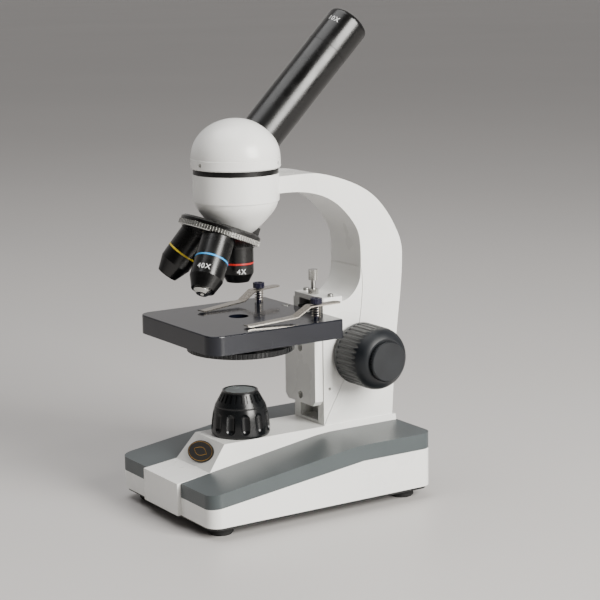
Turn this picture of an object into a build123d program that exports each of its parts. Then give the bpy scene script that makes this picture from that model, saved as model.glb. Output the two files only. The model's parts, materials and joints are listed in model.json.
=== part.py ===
from build123d import *
import math
import os

# A student's upright microscope with one eyepiece, a turret of three objectives and a lamp in its foot.
# Millimetres, +Z up, front towards -Y. Every piece is drawn about the optical axis, which stands at
# x = y = 0, and is moved along Y when written so that the origin lies centred under the whole object.

# ---------------------------------------------------------------- driving dimensions
FIT = 0.05                  # radial clearance of a shaft in its hole
GAP = 0.3                   # clearance between pieces that pass each other

FRONT_Y = -56.5             # front face of the foot's centre tongue
BACK_Y = 109.6              # rearmost point, on the back of the arm
ORIGIN_SHIFT = -(FRONT_Y + BACK_Y) / 2

# foot
FOOT_HALF = 56.2
FOOT_FRONT = -54.0
FOOT_BACK = 104.3
FOOT_CORNER = 8.0
FOOT_BOTTOM = 7.5
FOOT_WALL = 3.0
COVER_THICK = 2.2
COVER_FRONT_Z = 27.0        # top of the grey covers at the front
COVER_BACK_Z = 41.0         # and along the level rear part
COVER_BEND_Y = 48.0         # where the slope meets the level part
BAND_FRONT = 8.4            # height of the covers' side band, front and rear
BAND_BACK = 9.8
TONGUE_HALF = 20.6
DECK_Z = 44.7
DECK_HALF = 17.4
DECK_BACK = 103.6
SLOPE_FOOT_Y = -34.0
SLOPE_TOP_Y = -22.0
PAD_R = 7.5                 # rubber feet
PAD_X = 42.0
PAD_FRONT_Y = -40.0
PAD_BACK_Y = 90.0
PAD_RECESS = 3.4            # radius and depth of the hole that hides a foot's screw
PAD_RECESS_DEEP = 2.6
BADGE_A = 13.5
BADGE_B = 6.8
SOCKET_X = -30.0            # power inlet and switch in the rear wall
SWITCH_X = 30.0
REAR_Z = 19.5
DECK_SCREWS = [(-9, 66), (9, 66), (-9, 92), (9, 92)]

# lamp
LAMP_R = 17.9
LAMP_SEAM_R = 15.7
LAMP_SEAM_Z = 62.0
LAMP_TOP_Z = 72.0
LAMP_FLUTES = 12
FLUTE_R = 3.4               # round cutter of a flute and how far outside the skin its middle runs
FLUTE_OUT = 1.7
LAMP_FINS = 25
LENS_SEAT_Z = 70.2
LENS_R = 9.7

# pillar, arm and focus
PILLAR_HALF = 16.5
PILLAR_FRONT = 50.0
SHELF_Z = 121.5
STOP_PLATE_TOP = 124.5
STOP_Y = 54.0
STOP_SCREWS = [(-13.5, 57.5), (13.5, 57.5)]
SEAM_GAP = 0.4              # open joint between focus housing and arm
LIP_END = (78.4, 141.0)     # top of the focus housing's swept lip, Y and Z
KNOB_Y = 75.5
KNOB_Z = 87.8
SHAFT_R = 4.0
FINE_SHAFT_R = 2.4
GEAR_MODULE = 0.8
GEAR_TEETH = 15
GEAR_PITCH_R = GEAR_MODULE * GEAR_TEETH / 2
COARSE_R = 19.3
COARSE_IN = 18.5
COARSE_SHOULDER = 36.5      # where the knob starts to round off
COARSE_OUT = 46.5
COARSE_FACE_R = 13.6
COARSE_RIBS = 36
COARSE_SHAFT_END = 36.0
FINE_R = 12.6
FINE_IN = 46.8
FINE_OUT = 49.8
FINE_FACE = 1.2             # thickness left over the fine shaft's end
FINE_TEETH = 52
GRUB_R = 0.9                # sunk grub screws that set the slide's play
GRUB_Y = 54.4
GRUB_Z = 67.4

# stage and slide
STAGE_HALF = 45.0
STAGE_TOP = 117.0
STAGE_DEEP = 11.4
STAGE_BACK = 46.0
STAGE_FRONT_CORNER = 8.5
STAGE_BACK_CORNER = 2.0
STAGE_WALL = 3.0
STAGE_SCREWS = [(-12.0, 41.5), (12.0, 41.5)]
STAGE_PLATE = 4.0
APERTURE_R = 6.0
CARRIER_FRONT = 43.5
CARRIER_BACK = 49.0
CARRIER_SCREWS = (62.3, 92.2)
CARRIER_HALF = 16.85
CARRIER_BOTTOM = 57.5
SLIDE_BOTTOM = 58.0
SLIDE_TOP = 117.0
SLIDE_BACK = 61.0
SLIDE_NECK = 9.9
SLIDE_TAIL = 13.0
DISC_R = 32.0
DISC_X = 13.5
DISC_Y = -7.0
POST_X = 32.5
POST_Y = 34.5
POST_HEAD_LOW = 125.9
POST_HEAD_TOP = 129.1
FAR_CLIP_TURN = 12.0        # degrees that the -X clip is swung inwards at rest

# nosepiece
TILT = math.radians(21.3)   # the turret's axis, away from upright
APEX_Z = 200.0              # where the objectives' axes meet on the optical axis
PLATE_TOP = 28.6            # distances along the turret's axis from the apex
PLATE_LOW = 31.5
RIM_TOP = 31.8
RIM_LOW = 35.0
PLATE_R = 24.4
RIM_R = 25.0
SEAT = 41.0                 # objective shoulders, along each objective's own axis
PIVOT_R = 3.0
DETENT_R = 21.4
OBJ_THREAD_R = 7.6
OBJECTIVE_TURNS = (0, 120, -120)
LOW_POWER, HIGH_POWER, MID_POWER = OBJECTIVE_TURNS
LOW_LENGTH, MID_LENGTH, HIGH_LENGTH = 61.5, 70.7, 76.7
NOSE_R = 5.3

# head and eyepiece
BOWL_R = 25.0
BOWL_TOP = 187.5
HEAD_LOW_R = 25.8
HEAD_LOW_TOP = 203.6
RING_Z = 203.6
RING_TOP = 206.6
COLLAR_TOP = 213.0
COLLAR_R = 26.8
DOME_R = 26.6
DOME_TOP = 236.0
DOME_WALL = 3.0
SET_SCREW_TURN = 38.0
SET_SCREW_Z = 210.0
TUBE_START_Z = 207.3        # the slanted axis leaves the optical axis here
TUBE_R = 13.0
TUBE_BORE = 11.65
TUBE_FOOT = 16.0
TUBE_END = 92.0
EYEPIECE_END = 117.0


# ---------------------------------------------------------------- small helpers
def turned(points):
    """Solid of revolution about Z from (radius, height) corners."""
    return revolve(Plane.XZ * make_face(Polyline(*points, close=True)), Axis.Z)


def turned_curve(edges):
    """Solid of revolution about Z from a closed list of edges drawn as (radius, height)."""
    return revolve(Plane.XZ * make_face(edges), Axis.Z)


def cap_arc(radius, edge_z, middle_z):
    """Half outline of a spherical cap, from its edge to its middle on the axis."""
    rise = middle_z - edge_z
    ball = (radius ** 2 + rise ** 2) / (2 * rise)
    half = math.asin(radius / abs(ball)) / 2
    between = (abs(ball) * math.sin(half), middle_z - ball + ball * math.cos(half))
    return ThreePointArc((radius, edge_z), between, (0, middle_z))


def rod(radius, low, high, x=0.0, y=0.0):
    """Upright cylinder between two heights."""
    return Pos(x, y, (low + high) / 2) * Cylinder(radius, high - low)


def cross_rod(radius, left, right, y=KNOB_Y, z=KNOB_Z):
    """Cylinder along X between two places."""
    return Pos((left + right) / 2, y, z) * Rot(0, 90, 0) * Cylinder(radius, right - left)


def block(x0, x1, y0, y1, z0, z1):
    """Box between two corners."""
    return Pos((x0 + x1) / 2, (y0 + y1) / 2, (z0 + z1) / 2) * Box(x1 - x0, y1 - y0, z1 - z0)


def side_plate(edges, half):
    """Closed outline drawn in Y and Z, as thick as twice `half` about the middle plane."""
    return extrude(Plane.YZ * make_face(edges), half, both=True)


def turret_frame(distance=0.0, turn=0.0):
    """Location on the turret's axis: local +Z runs down the axis away from the apex."""
    down = Vector(0, -math.sin(TILT), -math.cos(TILT))
    frame = Plane(origin=Vector(0, 0, APEX_Z) + down * distance, x_dir=(1, 0, 0), z_dir=down)
    return frame.location * Rot(0, 0, turn)


def objective_frame(turn):
    """Location at the apex whose local +Z runs down an objective's axis, `turn` degrees round the turret."""
    return turret_frame(0, turn) * Rot(math.degrees(TILT), 0, 0)


def tube_frame(distance=0.0):
    """Location on the eyepiece axis: local +Z runs up the tube towards the eye."""
    axis = Vector(0, 1, 1).normalized()
    return Plane(origin=Vector(0, 0, TUBE_START_Z) + axis * distance, x_dir=(1, 0, 0), z_dir=axis).location


def pan_screw(length, radius=1.5, head=2.8):
    """Cross-head screw standing on its point's side: head above z = 0, shank below."""
    screw = Cylinder(radius, length, align=(Align.CENTER, Align.CENTER, Align.MAX))
    cap = Cylinder(head, 1.8, align=(Align.CENTER, Align.CENTER, Align.MIN))
    cap = fillet(cap.edges().group_by(Axis.Z)[-1], 0.8)
    cross = Pos(0, 0, 1.6) * (Box(2.6, 0.6, 1.2) + Box(0.6, 2.6, 1.2))
    return screw + cap - cross


# ---------------------------------------------------------------- foot
def cover_rise():
    """Slope of the covers' front part."""
    return (COVER_BACK_Z - COVER_FRONT_Z) / (COVER_BEND_Y - FOOT_FRONT)


def slope_foot_z():
    """Height of the tongue's upper edge where the badge slope starts."""
    return COVER_FRONT_Z + (SLOPE_FOOT_Y - FOOT_FRONT) * cover_rise()


def pad_places():
    """X and Y of the four rubber feet."""
    return [(x, y) for x in (-PAD_X, PAD_X) for y in (PAD_FRONT_Y, PAD_BACK_Y)]


def cover_top_edges(drop):
    """The covers' top line, seen from the side, lowered by `drop`: a slope with a soft bend to level."""
    rise = cover_rise()
    bend = 9.0
    start = (FOOT_FRONT - 5, COVER_FRONT_Z - 5 * rise - drop)
    into = (COVER_BEND_Y - bend, COVER_BACK_Z - bend * rise - drop)
    out = (COVER_BEND_Y + bend, COVER_BACK_Z - drop)
    arc = TangentArc(into, out, tangent=(1, rise))
    return start, [Line(start, into), arc, Line(arc @ 1, (FOOT_BACK + 5, (arc @ 1).Y))]


def foot_block(inset, drop):
    """The foot's outline, drawn in by `inset`, from its bottom up to the covers' top line less `drop`."""
    middle = (FOOT_FRONT + FOOT_BACK) / 2
    length = FOOT_BACK - FOOT_FRONT - 2 * inset
    corner = max(FOOT_CORNER - inset, 1.0)
    plan = Pos(0, middle) * RectangleRounded(2 * (FOOT_HALF - inset), length, corner)
    tall = Pos(0, 0, FOOT_BOTTOM) * extrude(plan, COVER_BACK_Z)
    start, top = cover_top_edges(drop)
    high = top[-1] @ 1
    closed = top + [Line(high, (high.X, 0)), Line((high.X, 0), (start[0], 0)), Line((start[0], 0), start)]
    return tall & side_plate(closed, FOOT_HALF + 1)


def band_block(inset):
    """What the covers' side band leaves below it: the foot lower than the band's lower edge."""
    low_front = (FOOT_FRONT - 5, COVER_FRONT_Z - BAND_FRONT - 0.7)
    low_bend = (COVER_BEND_Y + 4, COVER_BACK_Z - BAND_BACK)
    low_back = (FOOT_BACK + 5, COVER_BACK_Z - BAND_BACK)
    edges = Polyline(low_front, low_bend, low_back, (FOOT_BACK + 5, 80), (FOOT_FRONT - 5, 80), close=True)
    return side_plate(edges, FOOT_HALF + 1 - inset)


def deck(inset):
    """White tongue and deck along the middle of the foot, drawn in by `inset`."""
    low = TONGUE_HALF - inset
    high = DECK_HALF - inset
    shoulder = COVER_FRONT_Z
    section = Polyline((-low, FOOT_BOTTOM), (low, FOOT_BOTTOM), (low, shoulder), (high, DECK_Z - inset),
                       (-high, DECK_Z - inset), (-low, shoulder), close=True)
    front = FRONT_Y + inset
    bar = extrude(Plane.XZ.offset(-front) * make_face(section), -(DECK_BACK - inset - front))
    foot_z = slope_foot_z()
    side = Polyline((FRONT_Y, FOOT_BOTTOM), (FRONT_Y, COVER_FRONT_Z - inset), (SLOPE_FOOT_Y, foot_z - inset),
                    (SLOPE_TOP_Y + inset * 0.4, DECK_Z - inset), (DECK_BACK, DECK_Z - inset),
                    (DECK_BACK, FOOT_BOTTOM), close=True)
    return bar & side_plate(side, FOOT_HALF)


def wing_cover(side):
    """Grey trim cover over one side of the foot; side is -1 for -X and +1 for +X."""
    skin = foot_block(0, 0) - foot_block(COVER_THICK, COVER_THICK)
    skin &= band_block(0)
    reach = block(0, FOOT_HALF + 1, FOOT_FRONT - 1, FOOT_BACK + 1, 0, 60)
    half = skin & (reach if side > 0 else mirror(reach, Plane.YZ))
    return half - deck(0)


def rear_openings():
    """Holes through the foot's rear wall for the power inlet and the switch."""
    inlet = Pos(SOCKET_X, FOOT_BACK, REAR_Z) * Rot(90, 0, 0) * Cylinder(5.0 + FIT, 20)
    switch = block(SWITCH_X - 6.5 - FIT, SWITCH_X + 6.5 + FIT, FOOT_BACK - 8, FOOT_BACK + 8,
                   REAR_Z - 6 - FIT, REAR_Z + 6 + FIT)
    return inlet + switch


def base_body():
    """Hollow white foot, open underneath, with screw posts for the bottom plate and the rubber feet."""
    shell = foot_block(0, 0) - (foot_block(0, 0) & band_block(0))
    shell += foot_block(COVER_THICK, COVER_THICK)
    shell += deck(0)
    wall = COVER_THICK + FOOT_WALL
    shell -= Pos(0, 0, -0.5) * (foot_block(wall, wall) + deck(FOOT_WALL))
    for x, y in pad_places():
        top = 23.5 if y < 0 else 37.5
        shell += rod(5.0, FOOT_BOTTOM, top, x, y) - rod(1.5, FOOT_BOTTOM - 1, top - 5.5, x, y)
    for x, y in DECK_SCREWS:
        shell -= rod(1.6, DECK_Z - 6, DECK_Z + 1, x, y)
    shell -= rod(9.0, DECK_Z - 6, DECK_Z + 1)
    return shell - rear_openings()


def bottom_plate():
    """Black plate that closes the foot, with clearance holes for the foot screws."""
    middle = (FOOT_FRONT + FOOT_BACK) / 2
    plan = Pos(0, middle) * RectangleRounded(2 * FOOT_HALF - 4, FOOT_BACK - FOOT_FRONT - 4, FOOT_CORNER - 2)
    plate = Pos(0, 0, FOOT_BOTTOM - 2) * extrude(plan, 2)
    for x, y in pad_places():
        plate -= rod(1.7, 0, 20, x, y)
    return plate


def rubber_feet():
    """Four soft round feet, each with a recess that hides its screw."""
    high = FOOT_BOTTOM - 2
    foot = turned([(PAD_RECESS, 0), (PAD_R - 1, 0), (PAD_R, 1.2), (PAD_R - 0.6, high), (1.7, high),
                   (1.7, PAD_RECESS_DEEP), (PAD_RECESS, PAD_RECESS_DEEP)])
    return [Pos(x, y, 0) * foot for x, y in pad_places()]


def badge():
    """Plain oval plate lying on the slope in front of the lamp."""
    lean = math.degrees(math.atan2(DECK_Z - slope_foot_z(), SLOPE_TOP_Y - SLOPE_FOOT_Y))
    plate = extrude(Ellipse(BADGE_A, BADGE_B), 0.8)
    middle_y = (SLOPE_FOOT_Y + SLOPE_TOP_Y) / 2
    middle_z = (DECK_Z + slope_foot_z()) / 2
    return Pos(0, middle_y, middle_z) * Rot(lean, 0, 0) * plate


# ---------------------------------------------------------------- lamp
def lamp_housing():
    """Bell-shaped lower lamp housing with deep oval flutes, hollow."""
    outer = ThreePointArc((LAMP_R, DECK_Z + 1.5), (17.35, 54.5), (LAMP_SEAM_R, LAMP_SEAM_Z))
    edges = [Line((14.0, DECK_Z), (LAMP_R - 0.6, DECK_Z)),
             Line((LAMP_R - 0.6, DECK_Z), (LAMP_R, DECK_Z + 1.5)), outer, Line((LAMP_SEAM_R, LAMP_SEAM_Z), (12.0, LAMP_SEAM_Z)),
             Line((12.0, LAMP_SEAM_Z), (14.0, DECK_Z))]
    bell = turned_curve(edges)
    half = 3.6
    ends = Pos(0, 0, half) * Sphere(FLUTE_R) + Pos(0, 0, -half) * Sphere(FLUTE_R)
    flute = Rot(0, -7, 0) * (Cylinder(FLUTE_R, 2 * half) + ends)
    for k in range(LAMP_FLUTES):
        bell -= Rot(0, 0, (k + 0.3) * 360 / LAMP_FLUTES) * Pos(17.4 + FLUTE_OUT, 0, 54.0) * flute
    return bell


def lamp_collar():
    """Upper lamp collar with fine upright fins and a flat top ring."""
    mouth = LENS_R + 0.1
    foot = LAMP_SEAM_R - 0.3
    collar = turned([(11.0, LAMP_SEAM_Z), (foot, LAMP_SEAM_Z), (foot, 63.0), (12.8, 67.6), (11.1, 70.9),
                     (10.8, 70.9), (10.8, LAMP_TOP_Z), (mouth, LAMP_TOP_Z), (mouth, LENS_SEAT_Z),
                     (8.8, LENS_SEAT_Z), (8.8, 67.6), (10.2, 66.0)])
    cut = Pos(12.7, 0, 68.2) * Rot(0, -28, 0) * Box(2.0, 1.4, 5.2)
    for k in range(LAMP_FINS):
        collar -= Rot(0, 0, k * 360 / LAMP_FINS) * cut
    return collar


def field_lens():
    """Frosted lens in the collar's mouth, slightly domed."""
    edge = LAMP_TOP_Z - 0.5
    top = LAMP_TOP_Z + 0.4
    return turned_curve([Line((0, LENS_SEAT_Z), (LENS_R, LENS_SEAT_Z)),
                         Line((LENS_R, LENS_SEAT_Z), (LENS_R, edge)), cap_arc(LENS_R, edge, top),
                         Line((0, top), (0, LENS_SEAT_Z))])


def led_board():
    """Round circuit board that carries the lamp's diode."""
    return rod(13.0, DECK_Z + 0.2, DECK_Z + 1.8) - rod(1.5, DECK_Z, DECK_Z + 2, 9, 0)


def led():
    """Domed white diode with its flange."""
    low = DECK_Z + 1.8
    dome = cap_arc(2.5, low + 5.0, low + 7.5)
    return turned_curve([Line((0, low), (2.9, low)), Line((2.9, low), (2.9, low + 1)),
                         Line((2.9, low + 1), (2.5, low + 1)), Line((2.5, low + 1), (2.5, low + 5.0)), dome,
                         Line((0, low + 7.5), (0, low))])


def driver_board():
    """Circuit board on the bottom plate that feeds the diode, with two capacitors and a chip."""
    low = FOOT_BOTTOM
    board = block(-18, 18, 62, 90, low + 3, low + 4.6)
    for x in (-15, 15):
        for y in (65, 87):
            board += rod(2.0, low, low + 3, x, y)
    board += rod(3.0, low + 4.6, low + 11, -9, 70) + rod(3.0, low + 4.6, low + 11, -2, 70)
    return board + block(4, 11, 72, 80, low + 4.6, low + 6.4)


def dc_socket():
    """Round power inlet in the rear wall: a barrel with a thin flange, a mouth and a centre pin."""
    barrel = rod(5.0, -14.0, 0.0) + rod(6.2, 0, 1.2)
    barrel -= rod(3.0, -9.5, 2)
    barrel += rod(0.9, -10, -0.5)
    return Pos(SOCKET_X, FOOT_BACK, REAR_Z) * Rot(-90, 0, 0) * barrel


def switch_housing():
    """Snap-in rocker switch body with its bezel; the rocker sits in the well."""
    body = block(-6.5, 6.5, -6, 6, -13, 0) + block(-8, 8, -7.5, 7.5, 0, 1.2)
    body -= block(-5.2, 5.2, -4.9, 4.9, -5.5, 3)
    return Pos(SWITCH_X, FOOT_BACK, REAR_Z) * Rot(-90, 0, 0) * body


def switch_rocker():
    """Rocker key with two slanted faces on its pivot."""
    key = Polyline((-4.9, 1.0), (-4.2, 2.6), (0, 1.5), (4.2, 1.9), (4.9, 0.8), (2.0, -2.6), (-2.0, -2.6),
                   close=True)
    rocker = extrude(Plane.XZ * make_face(key), 4.6, both=True)
    return Pos(SWITCH_X, FOOT_BACK, REAR_Z) * Rot(-90, 0, 0) * rocker


def wire(points, radii):
    """Insulated lead bent round the given corners."""
    path = FilletPolyline(*points, radius=radii)
    return sweep(Plane(origin=path @ 0, z_dir=path % 0) * Circle(0.8), path)


def wiring():
    """Insulated leads: inlet to switch, switch to the driver board, board to the diode."""
    inlet_y = FOOT_BACK - 14.2
    switch_y = FOOT_BACK - 13.2
    inlet_lead = wire([(SOCKET_X, inlet_y, REAR_Z), (SOCKET_X, 80, REAR_Z), (-23, 78, 12.8), (-18.2, 78, 11.3)],
                      [5, 4])
    switch_lead = wire([(SWITCH_X, switch_y, REAR_Z), (SWITCH_X, 80, REAR_Z), (23, 78, 12.8), (18.2, 78, 11.3)],
                       [5, 4])
    lamp_lead = wire([(0, 61.8, 11.3), (0, 20, 14), (0, 6, 24), (0, 5, DECK_Z)], [20, 10])
    return [inlet_lead, switch_lead, lamp_lead]


# ---------------------------------------------------------------- pillar and arm
def seam_edges(forward=0.0):
    """The arm's front edge from the deck up to its inner curve, moved `forward` towards -Y."""
    corners = [(50.0 + SEAM_GAP, DECK_Z), (58.3, 59.5), (65.4, 72.2), (77.0, 106.0), (79.5, 127.0), LIP_END]
    return Spline(*[(y - forward, z) for y, z in corners], tangents=((0.45, 1), (-0.28, 1)))


def focus_housing_blank():
    """Side outline of the focus housing: a front face, a shelf on top and a swept lip."""
    seam = seam_edges(SEAM_GAP)
    lip = ThreePointArc((66.0, SHELF_Z), (75.0, 128.4), (LIP_END[0] - SEAM_GAP, LIP_END[1]))
    edges = [seam, lip, Line((66.0, SHELF_Z), (PILLAR_FRONT, SHELF_Z)),
             Line((PILLAR_FRONT, SHELF_Z), (PILLAR_FRONT, DECK_Z))]
    return side_plate(edges, PILLAR_HALF)


def slide_section(grow):
    """Plan of the dovetail slide, grown by `grow` for the groove it runs in."""
    neck = SLIDE_NECK + grow
    tail = SLIDE_TAIL + grow
    front = CARRIER_BACK - (5 if grow else 0)
    back = SLIDE_BACK + grow
    return make_face(Polyline((-neck, front), (neck, front), (neck, 54.0), (tail, back), (-tail, back),
                              (-neck, 54.0), close=True))


def focus_cuts():
    """What is machined out of pillar and arm: dovetail groove, rack channel and pinion pocket."""
    low = DECK_Z + 1.8
    groove = Pos(0, 0, low) * extrude(slide_section(0.1), SHELF_Z + 1 - low)
    channel = block(-4.6, 4.6, SLIDE_BACK - 1, KNOB_Y - 4.6, low, SHELF_Z - 1.5)
    pocket = cross_rod(GEAR_PITCH_R + 2.0, -8.4, 8.4)
    return groove + channel + pocket


def bush_holes():
    """Bore through both cheeks of the pillar for the shaft's bushes."""
    return cross_rod(6.0, -PILLAR_HALF - 1, PILLAR_HALF + 1)


def focus_housing():
    """White front part of the pillar, with the slide's groove, grub-screw and stop-plate holes."""
    housing = focus_housing_blank() - focus_cuts() - bush_holes()
    for side in (-1, 1):
        housing -= cross_rod(GRUB_R + FIT, side * 14 - 4, side * 14 + 4, GRUB_Y, GRUB_Z)
    for x, y in STOP_SCREWS:
        housing -= rod(1.25, SHELF_Z - 9, SHELF_Z + 1, x, y)
    return housing


def arm_blank(wall):
    """Side outline of the arm, drawn in by `wall` for its hollow."""
    rearmost = (BACK_Y - wall, 146.0)
    over = Spline(rearmost, (104.5 - 0.89 * wall, 163.6 - 0.45 * wall),
                  (85.8 - 0.63 * wall, 186.3 - 0.77 * wall), (55.4 - 0.2 * wall, 199.4 - wall),
                  (0.0, 201.2 - wall), tangents=((0, 1), (-1, 0)))
    lip_y, lip_z = LIP_END
    under = Spline((0.0, 190.9 + wall), (38.5, 190.5 + wall), (59.1 + 0.55 * wall, 183.0 + 0.84 * wall),
                   (73.4 + 0.83 * wall, 168.7 + 0.55 * wall), (lip_y + wall, lip_z),
                   tangents=((1, 0), (0, -1)))
    if wall:
        rear = Line((BACK_Y - wall, 114.0), rearmost)
        front = [Line((lip_y + wall, lip_z), (lip_y + wall, 114.0)), Line((lip_y + wall, 114.0), rear @ 0)]
    else:
        rear = Spline((101.6, DECK_Z), (105.4, 99.0), rearmost, tangents=((0.07, 1), (0, 1)))
        front = [seam_edges(), Line((50.0 + SEAM_GAP, DECK_Z), (101.6, DECK_Z))]
    return side_plate([rear, over, Line(over @ 1, under @ 0), under] + front, PILLAR_HALF - wall)


def arm():
    """White cast arm: pillar back, the sweep over the stage and the round seat of the head."""
    body = arm_blank(0)
    body += rod(HEAD_LOW_R, BOWL_TOP, HEAD_LOW_TOP)
    body -= arm_blank(3.6) - rod(HEAD_LOW_R - 3, 180, 210)
    body -= rod(20.0, BOWL_TOP - 1, HEAD_LOW_TOP + 1)
    body += rod(20.0, 194.0, 197.0) - rod(9.0, 190, 200)
    body -= focus_cuts() + bush_holes()
    for x, y in DECK_SCREWS:
        body -= rod(1.25, DECK_Z - 1, DECK_Z + 10, x, y)
    return body


def frame_screws():
    """All the cross-head screws of the fixed frame."""
    screws = [Pos(x, y, 2.6) * Rot(180, 0, 0) * pan_screw(13) for x, y in pad_places()]
    under = DECK_Z - FOOT_WALL - 0.5
    screws += [Pos(x, y, under) * Rot(180, 0, 0) * pan_screw(11, 1.2) for x, y in DECK_SCREWS]
    screws += [Pos(x, y, STOP_PLATE_TOP) * pan_screw(10, 1.2, 1.8) for x, y in STOP_SCREWS]
    screws.append(cross_rod(GRUB_R, -14.8, -10.8, GRUB_Y, GRUB_Z))
    screws.append(cross_rod(GRUB_R, 10.8, 14.8, GRUB_Y, GRUB_Z))
    return screws


def stop_plate():
    """Small plate on the pillar's shelf that holds the focus stop."""
    plate = block(-16.2, 16.2, PILLAR_FRONT, 65.0, SHELF_Z, STOP_PLATE_TOP)
    plate = fillet(plate.edges().filter_by(Axis.Z), 1.5)
    plate -= rod(1.5, SHELF_Z - 1, SHELF_Z + 5, 0, STOP_Y)
    for x, y in STOP_SCREWS:
        plate -= rod(1.3, SHELF_Z - 1, SHELF_Z + 5, x, y)
    return plate


def stop_screw():
    """Adjustable focus stop: a thin screw with a knurled head."""
    stem = rod(1.45, SLIDE_TOP + 4.6, 134.0) + rod(2.9, 133.5, 140.0)
    for k in range(24):
        stem -= Rot(0, 0, k * 15) * Pos(3.0, 0, 136.8) * Rot(0, 0, 45) * Box(0.4, 0.4, 8)
    return Pos(0, STOP_Y, 0) * stem


def lock_nut():
    """Hexagon nut that locks the focus stop against its plate."""
    nut = Pos(0, STOP_Y, STOP_PLATE_TOP) * extrude(RegularPolygon(3.2, 6), 3.4)
    return nut - rod(1.5, SHELF_Z, SHELF_Z + 8, 0, STOP_Y)


# ---------------------------------------------------------------- focus drive
def tooth_outline(count, pitch_r, addendum, dedendum, thin):
    """Involute teeth about a centre, as a closed outline; `thin` is taken off each flank for play."""
    base_r = pitch_r * math.cos(math.radians(20))
    tip_r = pitch_r + addendum
    root_r = pitch_r - dedendum
    spread = math.tan(math.radians(20)) - math.radians(20)
    half = math.pi / (2 * count) - thin / pitch_r + spread
    flank = []
    for k in range(5):
        r = base_r + (tip_r - base_r) * k / 4
        roll = math.acos(min(1.0, base_r / r))
        flank.append((r, half - (math.tan(roll) - roll)))
    flank = [(root_r, flank[0][1] + 0.04)] + flank
    corners = []
    for tooth in range(count):
        middle = 2 * math.pi * tooth / count
        turn = [(r, middle - a) for r, a in flank] + [(r, middle + a) for r, a in reversed(flank)]
        corners += [(r * math.cos(a), r * math.sin(a)) for r, a in turn]
    return make_face(Polyline(*corners, close=True))


def coarse_shaft():
    """Hollow shaft with the pinion cut on its middle; the fine shaft runs through it."""
    teeth = extrude(tooth_outline(GEAR_TEETH, GEAR_PITCH_R, 0.6, 1.0, 0.12), 5, both=True)
    upright = Rot(0, 0, 180) * teeth + Cylinder(SHAFT_R, 2 * COARSE_SHAFT_END)
    upright -= Cylinder(FINE_SHAFT_R + FIT, 100)
    return Pos(0, KNOB_Y, KNOB_Z) * Rot(0, 90, 0) * Rot(0, 0, 90) * upright


def rack():
    """Toothed bar on the slide's back, in mesh with the pinion."""
    pitch = math.pi * GEAR_MODULE
    line_y = KNOB_Y - GEAR_PITCH_R
    bar = block(-4, 4, SLIDE_BACK, line_y - 1.0, SLIDE_BOTTOM + 2, SLIDE_TOP - 2)
    half = pitch / 4 - 0.12
    slope = math.tan(math.radians(20))
    low, high = half + 1.0 * slope, half - 0.6 * slope
    tooth = side_plate(Polyline((line_y - 1.0, -low), (line_y + 0.6, -high), (line_y + 0.6, high),
                                (line_y - 1.0, low), close=True), 4)
    for k in range(-10, 11):
        bar += Pos(0, 0, KNOB_Z + (k + 0.5) * pitch) * tooth
    return bar


def shaft_bushes():
    """Flanged bronze bushes pressed in the cheeks of the pillar."""
    bushes = []
    for side in (-1, 1):
        bush = cross_rod(6.0, *sorted((side * 8.6, side * PILLAR_HALF)))
        bush += cross_rod(8.5, *sorted((side * PILLAR_HALF, side * 17.8)))
        bushes.append(bush - cross_rod(SHAFT_R + FIT, -30, 30))
    return bushes


def coarse_knob(side):
    """Large focusing knob: plain inner rim, long ribs that run out on a rounded shoulder."""
    shoulder = ThreePointArc((COARSE_R, COARSE_SHOULDER), (17.7, 42.6), (COARSE_FACE_R, COARSE_OUT))
    edges = [Line((SHAFT_R, COARSE_IN), (COARSE_R - 0.5, COARSE_IN)),
             Line((COARSE_R - 0.5, COARSE_IN), (COARSE_R, COARSE_IN + 0.6)),
             Line((COARSE_R, COARSE_IN + 0.6), (COARSE_R, COARSE_SHOULDER)), shoulder,
             Line((COARSE_FACE_R, COARSE_OUT), (SHAFT_R, COARSE_OUT)),
             Line((SHAFT_R, COARSE_OUT), (SHAFT_R, COARSE_IN))]
    knob = turned_curve(edges)
    cut = Pos(COARSE_R + 0.55, 0, 33) * (Cylinder(1.15, 22) + Pos(0, 0, -11) * Sphere(1.15))
    for k in range(COARSE_RIBS):
        knob -= Rot(0, 0, k * 360 / COARSE_RIBS) * cut
    return Pos(0, KNOB_Y, KNOB_Z) * Rot(0, 90 * side, 0) * knob


def fine_shaft():
    """Thin shaft through the coarse one that joins the two fine knobs."""
    end = FINE_OUT - FINE_FACE
    return cross_rod(FINE_SHAFT_R, -end, end)


def fine_knob(side):
    """Flat toothed knob close against the coarse one, chamfered to a plain face."""
    end = FINE_OUT - FINE_FACE
    knob = turned([(FINE_SHAFT_R, FINE_IN), (FINE_R - 0.4, FINE_IN), (FINE_R, FINE_IN + 0.4),
                   (FINE_R, FINE_OUT - 0.9), (FINE_R - 0.9, FINE_OUT), (0, FINE_OUT), (0, end),
                   (FINE_SHAFT_R, end)])
    for k in range(FINE_TEETH):
        knob -= Rot(0, 0, k * 360 / FINE_TEETH) * Pos(FINE_R + 0.15, 0, FINE_OUT) * Cylinder(0.6, 10)
    return Pos(0, KNOB_Y, KNOB_Z) * Rot(0, 90 * side, 0) * knob


# ---------------------------------------------------------------- slide and stage
def slide():
    """Black dovetail slide that carries the stage."""
    return Pos(0, 0, SLIDE_BOTTOM) * extrude(slide_section(0), SLIDE_TOP - SLIDE_BOTTOM)


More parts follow.
